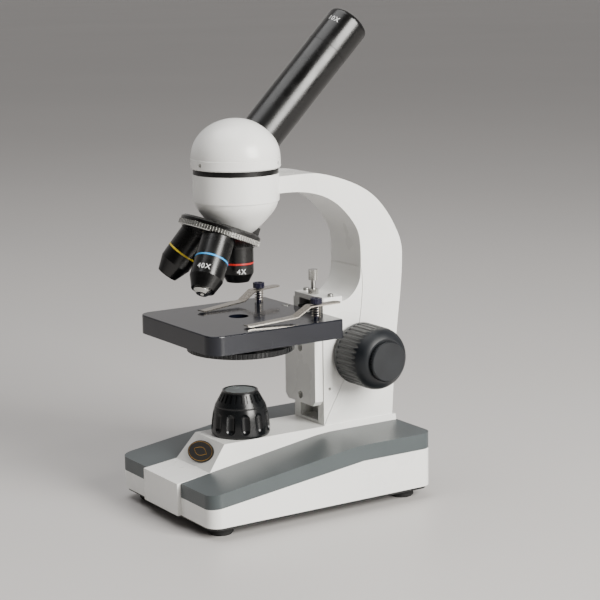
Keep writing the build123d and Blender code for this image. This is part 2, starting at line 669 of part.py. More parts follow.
def carrier():
    """White bracket: an upright plate on the slide with a flange under the stage."""
    low = STAGE_TOP - STAGE_DEEP
    plate = block(-CARRIER_HALF, CARRIER_HALF, CARRIER_FRONT, CARRIER_BACK, CARRIER_BOTTOM, low - 0.2)
    plate = chamfer(plate.edges().filter_by(Axis.Y).group_by(Axis.Z)[0], 3.0)
    plate += block(-14, 14, 24, CARRIER_BACK, low - 0.2 - 3, STAGE_TOP - STAGE_PLATE)
    plate -= block(-15, 15, 20, CARRIER_FRONT, low - 8, low + 1.5)
    for z in CARRIER_SCREWS:
        plate -= Pos(0, CARRIER_FRONT + 2, z) * Rot(90, 0, 0) * Cylinder(2.6, 4)
    for x, y in STAGE_SCREWS:
        plate -= rod(1.25, low - 6, STAGE_TOP, x, y)
    return plate


def stage_block(inset, low, high):
    """The stage's outline, drawn in by `inset`: large corners in front, small ones at the back."""
    half = STAGE_HALF - inset
    table = block(-half, half, -half, STAGE_BACK - inset, low, high)
    front = table.edges().filter_by(Axis.Z).group_by(Axis.Y)[0]
    table = fillet(front, STAGE_FRONT_CORNER - inset)
    back = table.edges().filter_by(Axis.Z).group_by(Axis.Y)[-1]
    return fillet(back, max(STAGE_BACK_CORNER - inset, 0.5))


def stage():
    """Black square stage, hollow underneath, with a hub for the condenser lens and clip post holes."""
    low = STAGE_TOP - STAGE_DEEP
    table = stage_block(0, low, STAGE_TOP)
    table = fillet(table.edges().group_by(Axis.Z)[-1], 0.7)
    table -= stage_block(STAGE_WALL, low - 1, STAGE_TOP - STAGE_PLATE)
    table += rod(10.5, low, STAGE_TOP - STAGE_PLATE)
    table += rod(4.0, low - 1.6, STAGE_TOP - STAGE_PLATE, DISC_X, DISC_Y)
    for side in (-1, 1):
        table += rod(4.0, low + 1, STAGE_TOP - STAGE_PLATE, side * POST_X, POST_Y)
    table -= rod(8.0 + FIT, low - 2, STAGE_TOP - STAGE_PLATE)
    table -= rod(APERTURE_R, low, STAGE_TOP + 1)
    table -= block(-14.2, 14.2, STAGE_BACK - 4, STAGE_BACK + 1, low - 1, STAGE_TOP - STAGE_PLATE)
    table -= rod(1.25, low - 3, STAGE_TOP - STAGE_PLATE, DISC_X, DISC_Y)
    for side in (-1, 1):
        table -= rod(1.5, low, STAGE_TOP + 1, side * POST_X, POST_Y)
    for x, y in STAGE_SCREWS:
        table -= rod(1.3, low, STAGE_TOP + 1, x, y) + rod(2.4, STAGE_TOP - 1.4, STAGE_TOP + 1, x, y)
    return table


def stage_screws():
    """Two screws through the carrier into the slide and two down through the stage into the carrier."""
    screws = []
    for z in CARRIER_SCREWS:
        screw = pan_screw(0.1, 1.2, 2.5)
        screws.append(Pos(0, CARRIER_FRONT + 3.9, z) * Rot(90, 0, 0) * screw)
    for x, y in STAGE_SCREWS:
        screws.append(Pos(x, y, STAGE_TOP - 1.35) * pan_screw(9, 1.2, 2.3))
    return screws


def condenser_lens():
    """Plano-convex condenser lens in the hub under the aperture."""
    low = STAGE_TOP - STAGE_DEEP
    dome = cap_arc(8.0, low + 4.0, low + 6.5)
    return turned_curve([Line((0, low + 1), (8.0, low + 1)), Line((8.0, low + 1), (8.0, low + 4.0)), dome,
                         Line((0, low + 6.5), (0, low + 1))])


def diaphragm_disc():
    """Turning disc of light stops under the stage, with a knurled edge and holes from wide to narrow."""
    high = STAGE_TOP - STAGE_DEEP - 1.6 - 0.2
    disc = turned([(0, high - 2.0), (DISC_R - 4, high - 4.2), (DISC_R, high - 3.2), (DISC_R, high),
                   (0, high)])
    reach = math.hypot(DISC_X, DISC_Y)
    start = math.degrees(math.atan2(-DISC_Y, -DISC_X))
    for k, radius in enumerate((5.5, 4.2, 3.0, 2.0, 1.2)):
        disc -= Rot(0, 0, start + 72 * k) * Pos(reach, 0, high) * Cylinder(radius, 20)
    for k in range(72):
        disc -= Rot(0, 0, 5 * k) * Pos(DISC_R + 0.3, 0, high - 1.6) * Cylinder(0.7, 8)
    disc -= Cylinder(1.6 + FIT, 400)
    return Pos(DISC_X, DISC_Y, 0) * disc


def diaphragm_screw():
    """Shouldered screw that the disc turns on."""
    high = STAGE_TOP - STAGE_DEEP - 1.6
    screw = turned([(0, high - 4.6), (3.2, high - 4.6), (3.2, high - 2.6), (1.6, high - 2.6), (1.6, high),
                    (1.2, high), (1.2, high + 6), (0, high + 6)])
    return Pos(DISC_X, DISC_Y, 0) * screw


def clip_posts():
    """Two posts with black knurled heads that hold the stage clips."""
    posts = []
    for side in (-1, 1):
        post = rod(1.45, STAGE_TOP - 9, POST_HEAD_LOW + 0.3) + rod(3.6, POST_HEAD_LOW, POST_HEAD_TOP)
        post -= rod(2.4, POST_HEAD_TOP - 0.5, POST_HEAD_TOP + 1)
        for k in range(20):
            post -= Rot(0, 0, 18 * k) * Pos(3.75, 0, POST_HEAD_LOW) * Cylinder(0.35, 8)
        posts.append(Pos(side * POST_X, POST_Y, 0) * post)
    return posts


def clip_springs():
    """Coil springs that press the clips up against the heads."""
    springs = []
    for side in (-1, 1):
        path = Helix(pitch=1.5, height=6.3, radius=2.5)
        coil = sweep(Plane(origin=path @ 0, z_dir=path % 0) * Circle(0.33), path)
        springs.append(Pos(side * POST_X, POST_Y, STAGE_TOP + 0.4) * coil)
    return springs


def clip(side, turn):
    """Spring-steel stage clip: a rounded tail, a step down and a long finger that bears on the slide."""
    thick = 0.7
    high = 124.6
    line = [(17.0, high), (-5.5, high), (-15.0, STAGE_TOP + 2.2), (-47.0, STAGE_TOP + 0.5),
            (-49.0, STAGE_TOP + 1.0)]
    upper = [(y, z + thick) for y, z in reversed(line)]
    strip = side_plate(Polyline(*line, *upper, close=True), 4.0)
    plan = make_face([Line((-2.6, -49), (-3.6, -5)), Line((-3.6, -5), (-3.2, 14)),
                      ThreePointArc((-3.2, 14), (0, 17), (3.2, 14)), Line((3.2, 14), (3.6, -5)),
                      Line((3.6, -5), (2.6, -49)), Line((2.6, -49), (-2.6, -49))])
    strip &= Pos(0, 0, STAGE_TOP) * extrude(plan, 20)
    strip -= Cylinder(1.45 + FIT, 400)
    return Pos(side * POST_X, POST_Y, 0) * Rot(0, 0, turn) * strip


# ---------------------------------------------------------------- nosepiece
def nose_bowl():
    """White bowl under the arm's head, cut off square to the turret's axis, with a light path."""
    curve = Spline((BOWL_R, BOWL_TOP), (23.6, 183.0), (18.6, 176.5), (9.5, 168.0),
                   tangents=((-0.1, -1), (-1, -0.75)))
    bowl = turned_curve([Line((0, BOWL_TOP), (BOWL_R, BOWL_TOP)), curve, Line((9.5, 168.0), (0, 168.0)),
                         Line((0, 168.0), (0, BOWL_TOP))])
    bowl += turned([(0, BOWL_TOP), (19.9, BOWL_TOP), (19.9, 193.8), (16.5, 193.8), (16.5, BOWL_TOP - 1),
                    (0, BOWL_TOP - 1)])
    bowl -= turret_frame(PLATE_TOP) * Pos(0, 0, 30) * Cylinder(80, 60)
    bowl -= rod(6.4, 150, 200)
    bowl -= turret_frame() * block(-4.8, 4.8, -24.3, -18.9, PLATE_TOP - 5.5, PLATE_TOP + 1)
    return bowl - turret_frame(PLATE_TOP - 8) * Pos(0, 0, 10) * Cylinder(1.25, 20)


def light_hole(radius):
    """Upright hole for the light path through the nosepiece."""
    return rod(radius, 150, 185)


def nosepiece_plate():
    """Fixed black plate of the nosepiece with the spring housing at its rear edge."""
    plate = turret_frame() * turned([(0, PLATE_TOP), (PLATE_R - 1.6, PLATE_TOP), (PLATE_R, PLATE_TOP + 1.2),
                                     (PLATE_R, PLATE_LOW), (0, PLATE_LOW)])
    house = turret_frame() * block(-4.5, 4.5, -24.0, -19.2, PLATE_TOP - 5.2, PLATE_TOP + 1)
    plate += house
    plate -= turret_frame() * Cylinder(1.3, 200)
    plate -= turret_frame() * Pos(0, -DETENT_R, PLATE_TOP + 3) * Cylinder(1.55, 10)
    return plate - light_hole(7.0)


def detent_ball():
    """Ball and stub spring plunger that clicks the turret into place."""
    low = PLATE_LOW + 0.15
    plunger = Pos(0, -DETENT_R, low - 1.5) * Sphere(1.5) + Pos(0, -DETENT_R, low - 3.2) * Cylinder(1.1, 3.2)
    return turret_frame() * plunger


def turret():
    """Revolving nosepiece: knurled silver rim, a shallow cone and three threaded seats."""
    cone = math.tan(TILT)
    body = turned([(0, RIM_TOP), (RIM_R, RIM_TOP), (RIM_R, RIM_LOW - 0.5), (RIM_R - 0.5, RIM_LOW),
                   (23.4, RIM_LOW), (4.5, RIM_LOW + 18.9 * cone - 0.6), (0, RIM_LOW + 18.9 * cone - 0.6)])
    for k in range(90):
        body -= Rot(0, 0, 4 * k) * Pos(RIM_R + 0.25, 0, 33.2) * Cylinder(0.55, 8)
    body = turret_frame() * body
    for turn in OBJECTIVE_TURNS:
        body += objective_frame(turn) * Pos(0, 0, SEAT - 2.5) * Cylinder(10.4, 5.0)
    trim = turret_frame() * (Pos(0, 0, RIM_TOP - 20) * Cylinder(60, 40))
    body -= trim
    for turn in OBJECTIVE_TURNS:
        body -= objective_frame(turn) * Pos(0, 0, SEAT + 5) * Cylinder(11.5, 10)
        body -= objective_frame(turn) * Pos(0, 0, SEAT - 5) * Cylinder(OBJ_THREAD_R, 30)
        body -= turret_frame(0, turn) * Pos(0, -DETENT_R, RIM_TOP) * Sphere(0.5)
    return body - turret_frame() * Cylinder(PIVOT_R + FIT, 200)


def turret_screw():
    """Shouldered screw that the turret turns on, held in the bowl."""
    low = RIM_LOW + 18.9 * math.tan(TILT) - 0.6
    screw = turned([(0, PLATE_TOP - 7), (1.2, PLATE_TOP - 7), (1.2, PLATE_LOW), (PIVOT_R, PLATE_LOW),
                    (PIVOT_R, low + 0.15), (4.2, low + 0.15), (4.2, low + 2.0), (0, low + 2.0)])
    return turret_frame() * screw


def objective_barrel(turn, length, radius, chamfer_long, tip_r, bore, nose_r=0.0):
    """Black objective barrel: thread, shoulder, parallel part, chamfered nose and a through bore."""
    start = length - chamfer_long
    barrel = turned([(bore, SEAT - 4.0), (OBJ_THREAD_R - 0.02, SEAT - 4.0), (OBJ_THREAD_R - 0.02, SEAT),
                     (radius, SEAT), (radius, start), (tip_r, length), (bore, length)])
    if nose_r:
        barrel -= rod(nose_r + FIT, length - 9.0, length + 1)
    return objective_frame(turn) * barrel


def objective_lens(turn, front, radius, thick):
    """Small front lens, slightly hollow towards the slide."""
    hollow = cap_arc(radius, front, front - 0.4)
    return objective_frame(turn) * turned_curve([Line((0, front - thick), (radius, front - thick)),
                                                 Line((radius, front - thick), (radius, front)), hollow,
                                                 Line((0, front - 0.4), (0, front - thick))])


def objectives():
    """The three black barrels: four-power, ten-power and forty-power."""
    low = objective_barrel(LOW_POWER, LOW_LENGTH, 9.7, 5.2, 6.9, 5.0)
    mid = objective_barrel(MID_POWER, MID_LENGTH, 9.7, 9.0, 6.3, 4.0)
    high = objective_barrel(HIGH_POWER, HIGH_LENGTH - 2.6, 9.9, 7.4, 7.0, 3.4, NOSE_R)
    return low, mid, high


def objective_lenses():
    """Front lenses of the low and middle power objectives."""
    return [objective_lens(LOW_POWER, LOW_LENGTH - 0.6, 5.0, 2.4),
            objective_lens(MID_POWER, MID_LENGTH - 0.5, 4.0, 2.4)]


def sprung_nose():
    """Spring-loaded silver nose of the high-power objective, with its tiny front lens seat."""
    end = HIGH_LENGTH
    nose = turned([(0, end - 7.8), (NOSE_R, end - 7.8), (NOSE_R, end - 1.9), (3.4, end), (1.6, end),
                   (0.9, end - 0.7), (0, end - 0.7)])
    return objective_frame(HIGH_POWER) * nose


# ---------------------------------------------------------------- head
def head_ring():
    """Black bearing ring on which the head turns."""
    ring = rod(25.4, RING_Z, RING_TOP) - rod(19.0, RING_Z - 1, RING_TOP + 1)
    return ring + rod(21.4, RING_TOP - 0.1, COLLAR_TOP - 2.2) - rod(19.0, RING_Z - 1, COLLAR_TOP)


def head_collar():
    """White belt at the foot of the rotating head, tapped for three set screws."""
    bore = 21.4 + FIT
    collar = turned([(bore, RING_TOP + GAP), (COLLAR_R - 0.6, RING_TOP + GAP), (COLLAR_R, RING_TOP + 1.0),
                     (COLLAR_R, COLLAR_TOP - 0.4), (COLLAR_R - 0.4, COLLAR_TOP), (bore, COLLAR_TOP)])
    hole = Pos(25, 0, SET_SCREW_Z) * Rot(0, 90, 0) * Cylinder(1.2, 20)
    for k in range(3):
        collar -= Rot(0, 0, SET_SCREW_TURN + 120 * k) * hole
    return collar


def head_screws():
    """Three sunk set screws that hold the head on its ring."""
    screw = Cylinder(1.2, 3.6) - Pos(0, 0, 1.6) * Box(0.5, 3, 1)
    lying = Pos(24.2, 0, SET_SCREW_Z) * Rot(0, 90, 0) * screw
    return [Rot(0, 0, SET_SCREW_TURN + 120 * k) * lying for k in range(3)]


def dome_outline(inset):
    """Solid half ellipsoid over the collar, drawn in by `inset`."""
    wide = DOME_R - inset
    high = DOME_TOP - COLLAR_TOP - inset
    curve = EllipticalCenterArc((0, COLLAR_TOP), wide, high, start_angle=0, arc_size=90)
    return turned_curve([Line((0, COLLAR_TOP), (wide, COLLAR_TOP)), curve,
                         Line((0, COLLAR_TOP + high), (0, COLLAR_TOP))])


def head_dome():
    """White domed shell of the head, bored for the slanted eyepiece tube."""
    dome = dome_outline(0) - Pos(0, 0, -0.01) * dome_outline(DOME_WALL)
    return dome - tube_frame(40) * Cylinder(TUBE_R, 80)


def prism_holder():
    """Plate across the head that carries the prism over the light path."""
    plate = rod(20.8, COLLAR_TOP - 2.0, COLLAR_TOP) - rod(8.0, 200, 220)
    return plate + block(-13, 13, -15, -13.2, COLLAR_TOP, COLLAR_TOP + 5)


def prism():
    """Glass prism that bends the light into the slanted tube."""
    low = COLLAR_TOP
    outline = Polyline((-9.5, low), (8.0, low), (3.2, low + 4.8), (-9.5, low + 11.5), close=True)
    return side_plate(outline, 8.0) - tube_frame(40) * Cylinder(TUBE_R, 50)


def eyepiece_tube():
    """Black slanted tube that holds the eyepiece, its foot cut to stand in the head."""
    tube = Pos(0, 0, (TUBE_FOOT + TUBE_END) / 2) * Cylinder(TUBE_R - 0.02, TUBE_END - TUBE_FOOT)
    tube -= Cylinder(TUBE_BORE, 400)
    return tube_frame() * tube - block(-20, 20, -20, 50, 180, COLLAR_TOP + 0.1)


def eyepiece():
    """Ten-power eyepiece: a barrel sliding in the tube, a cap of the tube's width and an eye opening."""
    barrel_r = TUBE_BORE - FIT
    edge = ThreePointArc((TUBE_R, EYEPIECE_END - 3.0), (TUBE_R - 0.9, EYEPIECE_END - 0.9),
                         (TUBE_R - 3.0, EYEPIECE_END))
    edges = [Line((9.6, 60), (barrel_r, 60)), Line((barrel_r, 60), (barrel_r, TUBE_END + 0.15)),
             Line((barrel_r, TUBE_END + 0.15), (TUBE_R, TUBE_END + 0.15)),
             Line((TUBE_R, TUBE_END + 0.15), (TUBE_R, EYEPIECE_END - 3.0)), edge,
             Line((TUBE_R - 3.0, EYEPIECE_END), (9.0, EYEPIECE_END)),
             Line((9.0, EYEPIECE_END), (7.6, EYEPIECE_END - 2.6)),
             Line((7.6, EYEPIECE_END - 2.6), (9.6, EYEPIECE_END - 2.6)),
             Line((9.6, EYEPIECE_END - 2.6), (9.6, 60))]
    return tube_frame() * turned_curve(edges)


def lens_disc(radius, low, thick, bulge):
    """Lens flat below and domed above, about Z."""
    dome = cap_arc(radius, low + thick, low + thick + bulge)
    return turned_curve([Line((0, low), (radius, low)), Line((radius, low), (radius, low + thick)), dome,
                         Line((0, low + thick + bulge), (0, low))])


def eyepiece_lenses():
    """Field lens at the barrel's foot and eye lens under the cap."""
    field = lens_disc(9.6, 61, 3.0, 1.6)
    eye = lens_disc(9.6, EYEPIECE_END - 7.0, 2.4, 1.6)
    return [tube_frame() * field, tube_frame() * eye]


# ---------------------------------------------------------------- writing
def write(name, shape):
    """Export one piece, or one group of like pieces, moved to the object's own origin."""
    solids = shape if isinstance(shape, list) else [shape]
    moved = [Pos(0, ORIGIN_SHIFT, 0) * solid for solid in solids]
    export_step(moved[0] if len(moved) == 1 else Compound(children=moved), f"parts/{name}.step")


def main():
    os.makedirs("parts", exist_ok=True)
    objective_4x, objective_10x, objective_40x = objectives()
    pieces = {
        "base_body": base_body(), "left_wing_cover": wing_cover(-1), "right_wing_cover": wing_cover(1),
        "bottom_plate": bottom_plate(), "rubber_feet": rubber_feet(), "frame_screws": frame_screws(),
        "badge": badge(), "lamp_housing": lamp_housing(), "lamp_collar": lamp_collar(),
        "field_lens": field_lens(),
        "led_board": led_board(), "led": led(), "driver_board": driver_board(), "dc_socket": dc_socket(),
        "switch_housing": switch_housing(), "switch_rocker": switch_rocker(), "wiring": wiring(),
        "arm": arm(), "focus_housing": focus_housing(), "stop_plate": stop_plate(),
        "stop_screw": stop_screw(),
        "lock_nut": lock_nut(), "shaft_bushes": shaft_bushes(), "coarse_shaft": coarse_shaft(),
        "left_coarse_knob": coarse_knob(-1), "right_coarse_knob": coarse_knob(1), "fine_shaft": fine_shaft(),
        "left_fine_knob": fine_knob(-1), "right_fine_knob": fine_knob(1), "slide": slide(), "rack": rack(),
        "carrier": carrier(), "stage_screws": stage_screws(), "stage": stage(), "clip_posts": clip_posts(),
        "clip_springs": clip_springs(), "left_clip": clip(-1, FAR_CLIP_TURN), "right_clip": clip(1, 0),
        "condenser_lens": condenser_lens(), "diaphragm_disc": diaphragm_disc(),
        "diaphragm_screw": diaphragm_screw(), "nose_bowl": nose_bowl(), "nosepiece_plate": nosepiece_plate(),
        "detent_ball": detent_ball(), "turret": turret(), "turret_screw": turret_screw(),
        "objective_4x": objective_4x, "objective_10x": objective_10x, "objective_40x": objective_40x,
        "objective_lenses": objective_lenses(), "sprung_nose": sprung_nose(), "head_ring": head_ring(),
        "head_collar": head_collar(), "head_screws": head_screws(), "head_dome": head_dome(),
        "prism_holder": prism_holder(), "prism": prism(), "eyepiece_tube": eyepiece_tube(),
        "eyepiece": eyepiece(), "eyepiece_lenses": eyepiece_lenses(),
    }
    for name, shape in pieces.items():
        write(name, shape)


main()
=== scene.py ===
"""Looks of a student's upright microscope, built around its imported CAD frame."""

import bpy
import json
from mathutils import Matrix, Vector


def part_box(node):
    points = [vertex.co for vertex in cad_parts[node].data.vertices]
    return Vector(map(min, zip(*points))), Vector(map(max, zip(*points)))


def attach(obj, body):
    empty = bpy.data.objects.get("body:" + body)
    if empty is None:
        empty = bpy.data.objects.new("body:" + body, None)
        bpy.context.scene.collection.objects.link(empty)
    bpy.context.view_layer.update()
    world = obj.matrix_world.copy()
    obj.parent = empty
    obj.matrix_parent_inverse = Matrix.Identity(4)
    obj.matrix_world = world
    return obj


bl_info = {
    "name": "Student Microscope Finishes",
    "version": (1, 0, 0),
    "blender": (4, 5, 0),
    "location": "View3D > Sidebar > Microscope",
    "description": "Finishes, marks and studio for an upright microscope",
    "category": "Object",
}
import json
import math

import bmesh
import bpy
from bpy.props import FloatProperty, FloatVectorProperty, PointerProperty
from mathutils import Matrix, Vector

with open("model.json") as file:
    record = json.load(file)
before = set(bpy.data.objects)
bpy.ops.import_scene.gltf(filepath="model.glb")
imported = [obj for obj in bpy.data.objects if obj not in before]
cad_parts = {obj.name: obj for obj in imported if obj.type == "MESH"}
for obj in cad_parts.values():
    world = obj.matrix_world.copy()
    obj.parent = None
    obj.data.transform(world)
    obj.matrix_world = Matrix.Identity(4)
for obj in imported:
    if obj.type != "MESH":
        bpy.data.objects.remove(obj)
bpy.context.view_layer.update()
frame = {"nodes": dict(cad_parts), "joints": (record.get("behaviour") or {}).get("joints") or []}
NODES = frame["nodes"]
JOINTS = {joint["name"]: joint for joint in frame["joints"]}
MM = 0.001


# ------------------------------------------------------------------ measures taken from the frame
def middle(node):
    """Centre of a CAD node's box."""
    low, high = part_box(node)
    return (low + high) / 2


LENS = middle("field_lens")
AXIS = Vector((LENS.x, LENS.y, 0))           # the optical axis, standing on the floor
TURRET_AXIS = Vector(JOINTS["nosepiece_turn"]["axis"]).normalized()
TURRET_POINT = Vector(JOINTS["nosepiece_turn"]["pos_m"])
APEX = TURRET_POINT + TURRET_AXIS * ((AXIS.y - TURRET_POINT.y) / TURRET_AXIS.y)
TUBE_AXIS = Vector(JOINTS["eyepiece_lift"]["axis"]).normalized()
HEAD_FRONT = Vector((0.84, -0.54, 0.0))      # the side on which the marks are read
TUBE_START = AXIS + Vector((0, 0, 207.3 * MM))   # where the slanted tube's axis leaves the optical axis
TUBE_RADIUS = 13.0 * MM
EYEPIECE_MARK = 108.0 * MM                   # distance of the eyepiece's mark along the tube's axis
EYEPIECE_MARK_TURN = -42                     # degrees from the side on which the marks are read
RIM_EDGE = (23.3 * MM, 23.5 * MM)            # turret radius where blacking ends and where plating is bare
BAND_SUNK = 0.3 * MM                         # depth of a colour band's edges below the barrel's surface
BAND_PROUD = 0.06 * MM                       # height of a colour band above the barrel's surface
CAPITAL_HEIGHT = 0.7                         # height of a capital in the built-in font at size 1
MARK_SUNK = 0.3                              # share of a mark's thickness that lies below the surface
BADGE_LEAN = 51.2                            # degrees that the badge leans back from level
BADGE_FACE = 0.4 * MM                        # from the middle of the badge's box out to its face
BADGE_RIM = (12.6, 5.95)                     # half sizes of the badge's gold rim, in mm
LENS_SIGN = (7.5, 2.6)                       # half sizes of the badge's lens sign, in mm
STRIP_WIDTH = 0.4                            # width of the badge's raised strips, in mm
# section of a raised strip: place across it in half widths, height above the badge's face in mm
STRIP_SECTION = ((-1.0, -0.1), (-1.0, 0.06), (-0.6, 0.14), (0.6, 0.14), (1.0, 0.06), (1.0, -0.1))
# name, turn round the turret, barrel radius, band distance, mark distance, finish, mark text, mark's turn
OBJECTIVES = (
    ("low", 0, 9.7, 50.1, 54.6, "low_band", "4X", 16),
    ("high", 120, 9.9, 55.0, 63.0, "high_band", "40X", -18),
    ("mid", -120, 9.7, 54.0, 60.0, "mid_band", "10X", -100),
)
FLOOR_RADIUS = 40.0
CAMERA_AZIMUTH, CAMERA_ELEVATION, CAMERA_ROLL = 57.13, 10.90, -0.76      # degrees
CAMERA_DISTANCE = 1.0953
CAMERA_AIM = Vector((0, 44.13 * MM + AXIS.y, 121.8 * MM))
CAMERA_LENS = 107.03                         # focal length in mm, on a sensor SENSOR_WIDTH wide
SENSOR_WIDTH = 36


def srgb(code):
    """Linear RGB from an sRGB hex code."""
    parts = [int(code[i:i + 2], 16) / 255 for i in (1, 3, 5)]
    return tuple(c / 12.92 if c <= 0.04045 else ((c + 0.055) / 1.055) ** 2.4 for c in parts)


def colour(name, text, code):
    """A colour property with its default given as an sRGB hex code."""
    return FloatVectorProperty(name=name, description=text, subtype="COLOR", size=3, min=0, max=1,
                               default=srgb(code))


# ------------------------------------------------------------------ settings
class FinishSettings(bpy.types.PropertyGroup):
    """Colours of the finishes that a user may want to change"""
    enamel: colour("Enamel", "Stoved enamel on the cast foot, arm and head", "#EFEFEC")
    cover: colour("Covers", "Paint on the two side covers of the foot", "#464D4F")
    lacquer: colour("Stage", "Gloss lacquer on the stage", "#0B0E17")
    tube: colour("Tube", "Black finish on tube, eyepiece and objectives", "#060606")
    moulding: colour("Lamp", "Black moulding of the lamp housing", "#0A0C0E")
    knob: colour("Knobs", "Moulded focusing knobs", "#0C1015")
    post: colour("Clip heads", "Moulded heads of the clip posts", "#0C0B24")
    low_band: colour("4x band", "Colour band of the low-power objective", "#B01E1A")
    mid_band: colour("10x band", "Colour band of the middle objective", "#E3C62B")
    high_band: colour("40x band", "Colour band of the high-power objective", "#2C97D8")
    gold: colour("Gold", "Printed gold of the badge", "#C99A4B")


class DetailSettings(bpy.types.PropertyGroup):
    """Sizes of the colour bands and the filled marks"""
    band_width: FloatProperty(name="Band width", description="Width of an objective's colour band",
                              default=0.0011, min=0.0004, max=0.003, unit="LENGTH", subtype="DISTANCE")
    mark_height: FloatProperty(name="Mark height", description="Letter height of the power marks",
                               default=0.0031, min=0.001, max=0.006, unit="LENGTH", subtype="DISTANCE")
    mark_depth: FloatProperty(name="Mark thickness", description="How far the filled marks stand proud",
                              default=0.00004, min=0.00001, max=0.0003, unit="LENGTH", subtype="DISTANCE")


class StudioSettings(bpy.types.PropertyGroup):
    """Floor, backdrop and lights of the studio"""
    floor: colour("Floor", "Pale floor under the microscope", "#C6C3C1")
    behind: colour("Backdrop", "Tone of the lit studio wall behind the microscope", "#C2BFBD")
    before: colour("Room", "Tone of the dim room in front of the microscope", "#4E4C4A")
    key_power: FloatProperty(name="Key", description="Power of the large side light", default=56, min=0,
                             unit="POWER")
    fill_power: FloatProperty(name="Fill", description="Power of the overhead light", default=16, min=0,
                              unit="POWER")


# ------------------------------------------------------------------ node and mesh helpers
def add(material, kind, inputs=None, stops=None, **settings):
    """Adds one shader node from its settings, its socket values or links, and a ramp's coloured stops."""
    node = material.node_tree.nodes.new(kind)
    for name, value in settings.items():
        setattr(node, name, value)
    for name, value in (inputs or {}).items():
        socket = node.inputs[name]
        if isinstance(value, bpy.types.NodeSocket):
            material.node_tree.links.new(value, socket)
        else:
            socket.default_value = value
    for index, (place, tone) in enumerate(stops or []):
        mark = node.color_ramp.elements[index] if index < 2 else node.color_ramp.elements.new(place)
        mark.position = place
        mark.color = (*tone, 1) if len(tone) == 3 else tone
    return node


def new_material(name):
    """An empty node material."""
    material = bpy.data.materials.new(name)
    material.use_nodes = True
    material.node_tree.nodes.clear()
    return material


def finish_material(material, shader):
    """Joins the shader to the material's output and hands the material back."""
    add(material, "ShaderNodeOutputMaterial", {"Surface": shader})
    return material


def per_metre(size_mm):
    """Pattern scale whose features are about `size_mm` across."""
    return 1000 / size_mm


def mesh_object(name, bm, material):
    """Turns a bmesh into an object in the scene, with one material."""
    bmesh.ops.recalc_face_normals(bm, faces=bm.faces)
    mesh = bpy.data.meshes.new(name)
    bm.to_mesh(mesh)
    bm.free()
    piece = bpy.data.objects.new(name, mesh)
    bpy.context.scene.collection.objects.link(piece)
    mesh.materials.append(material)
    return piece


def basis_about(axis, towards):
    """Frame whose Z is `axis` and whose X points as nearly as it can along `towards`."""
    across = (towards - axis * towards.dot(axis)).normalized()
    side = axis.cross(across)
    return Matrix((across, side, axis)).transposed().to_4x4()


def lathe(name, outline, origin, axis, material, steps=96):
    """Ring turned about an axis: outline is a closed list of (radius, distance along the axis)."""
    place = Matrix.Translation(origin) @ basis_about(axis, HEAD_FRONT)
    bm = bmesh.new()
    rings = []
    for k in range(steps):
        turn = 2 * math.pi * k / steps
        rings.append([bm.verts.new(place @ Vector((r * math.cos(turn), r * math.sin(turn), s)))
                      for r, s in outline])
    for k in range(steps):
        here, there = rings[k], rings[(k + 1) % steps]
        for j in range(len(outline)):
            m = (j + 1) % len(outline)
            bm.faces.new((here[j], here[m], there[m], there[j]))
    piece = mesh_object(name, bm, material)
    for face in piece.data.polygons:
        face.use_smooth = True
    return piece


# ------------------------------------------------------------------ materials
def stoved_enamel(settings):
    """Gloss enamel stoved on a die casting: white, faintly rippled, its tone very slightly uneven."""
    m = new_material("stoved_white_enamel_on_casting")
    where = add(m, "ShaderNodeTexCoord")
    ripple = add(m, "ShaderNodeTexNoise",
                 {"Vector": where.outputs["Object"], "Scale": per_metre(2.5), "Detail": 3.0})
    cloud = add(m, "ShaderNodeTexNoise",
                {"Vector": where.outputs["Object"], "Scale": per_metre(40), "Detail": 5.0})
    base = settings.enamel
    tone = add(m, "ShaderNodeValToRGB", {"Fac": cloud.outputs["Fac"]},
               stops=[(0.35, tuple(c * 0.955 for c in base)), (0.65, tuple(base))])
    rough = add(m, "ShaderNodeMapRange", {"Value": cloud.outputs["Fac"], "From Min": 0.3, "From Max": 0.7,
                                          "To Min": 0.24, "To Max": 0.36})
    bump = add(m, "ShaderNodeBump", {"Height": ripple.outputs["Fac"], "Strength": 0.08, "Distance": 0.0002})
    shader = add(m, "ShaderNodeBsdfPrincipled",
                 {"Base Color": tone.outputs["Color"], "Roughness": rough.outputs["Result"],
                  "Normal": bump.outputs["Normal"], "IOR": 1.5, "Coat Weight": 0.25,
                  "Coat Roughness": 0.12})
    return finish_material(m, shader.outputs["BSDF"])


def cover_paint(settings):
    """Satin blue-grey paint on moulded covers: a fine even texture and soft sheen."""
    m = new_material("satin_grey_paint_on_moulded_cover")
    where = add(m, "ShaderNodeTexCoord")
    # the real grain is finer than this: it is drawn as coarse as it needs to show
    grain = add(m, "ShaderNodeTexNoise",
                {"Vector": where.outputs["Object"], "Scale": per_metre(0.6), "Detail": 4.0})
    cloud = add(m, "ShaderNodeTexNoise",
                {"Vector": where.outputs["Object"], "Scale": per_metre(30), "Detail": 4.0})
    base = settings.cover
    tone = add(m, "ShaderNodeValToRGB", {"Fac": cloud.outputs["Fac"]},
               stops=[(0.3, tuple(c * 0.9 for c in base)), (0.7, tuple(c * 1.06 for c in base))])
    rough = add(m, "ShaderNodeMapRange", {"Value": grain.outputs["Fac"], "To Min": 0.3, "To Max": 0.44})
    bump = add(m, "ShaderNodeBump", {"Height": grain.outputs["Fac"], "Strength": 0.12, "Distance": 0.0001})
    shader = add(m, "ShaderNodeBsdfPrincipled",
                 {"Base Color": tone.outputs["Color"], "Roughness": rough.outputs["Result"],
                  "Normal": bump.outputs["Normal"], "IOR": 1.5})
    return finish_material(m, shader.outputs["BSDF"])


